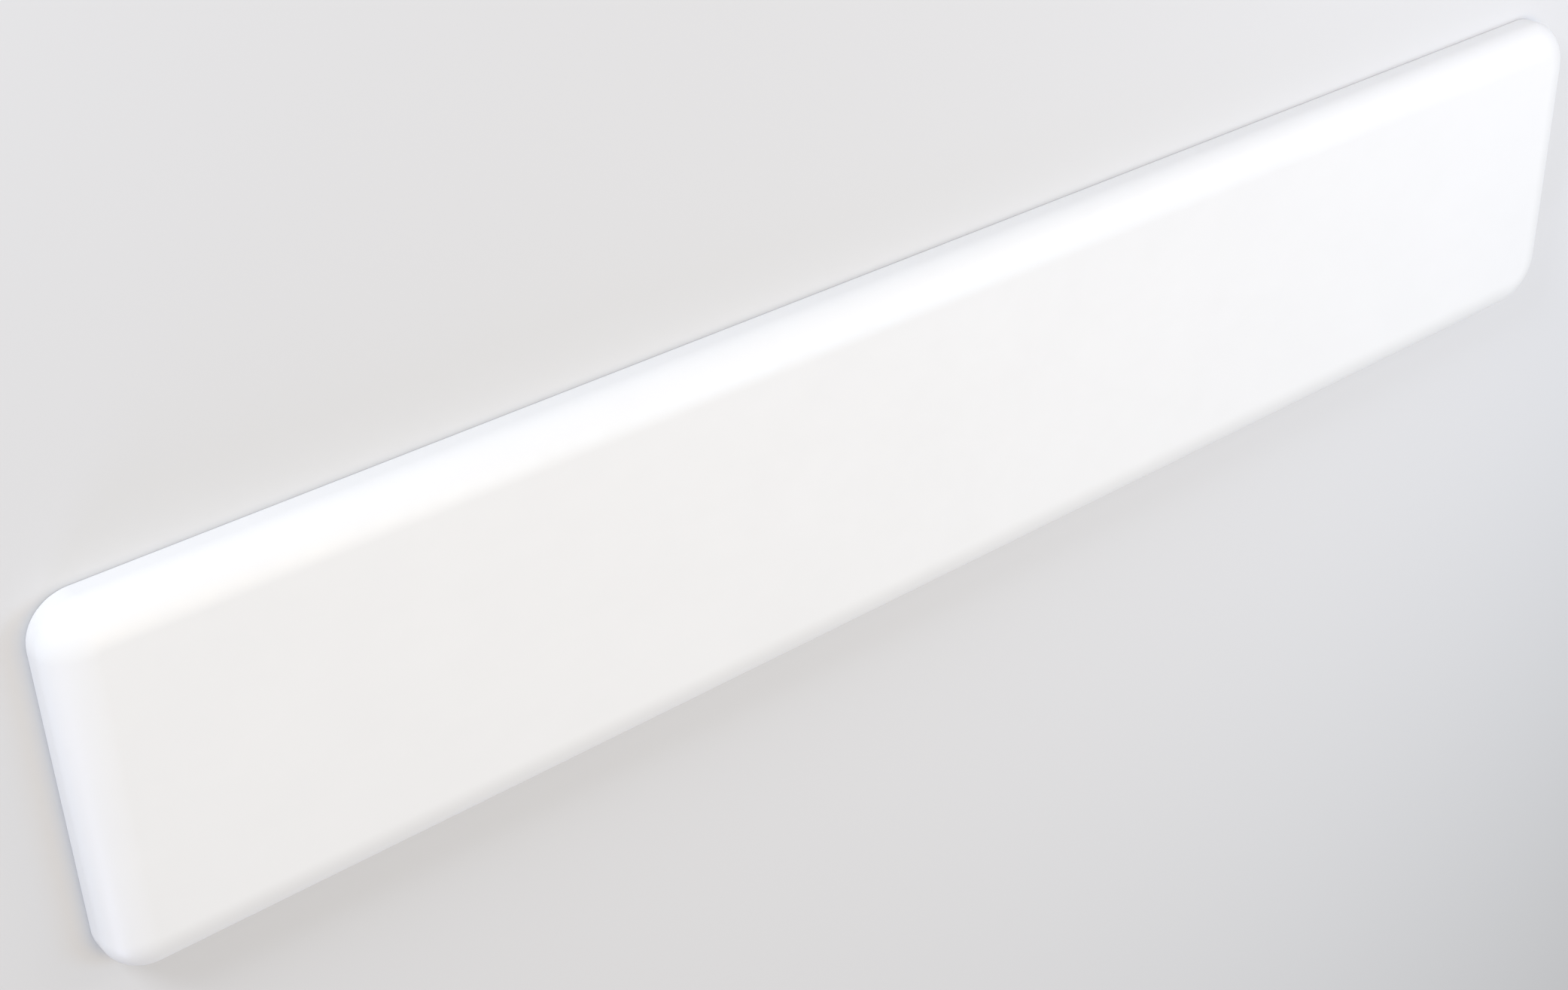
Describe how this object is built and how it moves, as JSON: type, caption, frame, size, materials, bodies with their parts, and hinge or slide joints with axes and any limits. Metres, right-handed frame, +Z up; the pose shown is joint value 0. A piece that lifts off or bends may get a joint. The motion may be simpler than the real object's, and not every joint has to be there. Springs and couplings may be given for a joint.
{
  "type": "diving board",
  "caption": "Flat white springboard for a pool, with a moulded cover rolled over at the edges, a wooden core and blind bolt holes underneath.",
  "frame": {"origin": "centre of the underside", "axes": "+X along the board from the tail, where it is anchored, to the nose, where the diver stands; +Z up, out of the standing face; +Y to the left when facing the nose"},
  "size_m": [2.4384, 0.4572, 0.0571],
  "materials": {
    "cover": "satin",
    "laminate": "satin",
    "core_wood": "matte",
    "underside": "satin",
    "sealant": "matte",
    "plate_metal": "satin",
    "nut_metal": "satin"
  },
  "bodies": {
    "root": {"cover_shell": "cover", "upper_laminate": "laminate", "edge_rail_left": "core_wood", "edge_rail_right": "core_wood", "core_stringer_1": "core_wood", "core_stringer_2": "core_wood", "core_stringer_3": "core_wood", "core_stringer_4": "core_wood", "core_stringer_5": "core_wood", "core_stringer_6": "core_wood", "core_stringer_7": "core_wood", "core_stringer_8": "core_wood", "core_stringer_9": "core_wood", "lower_laminate": "underside", "edge_seal": "sealant", "anchor_plate": "plate_metal", "fulcrum_plate": "plate_metal", "anchor_captive_nuts": "nut_metal", "fulcrum_captive_nuts": "nut_metal"}
  },
  "joints": []
}
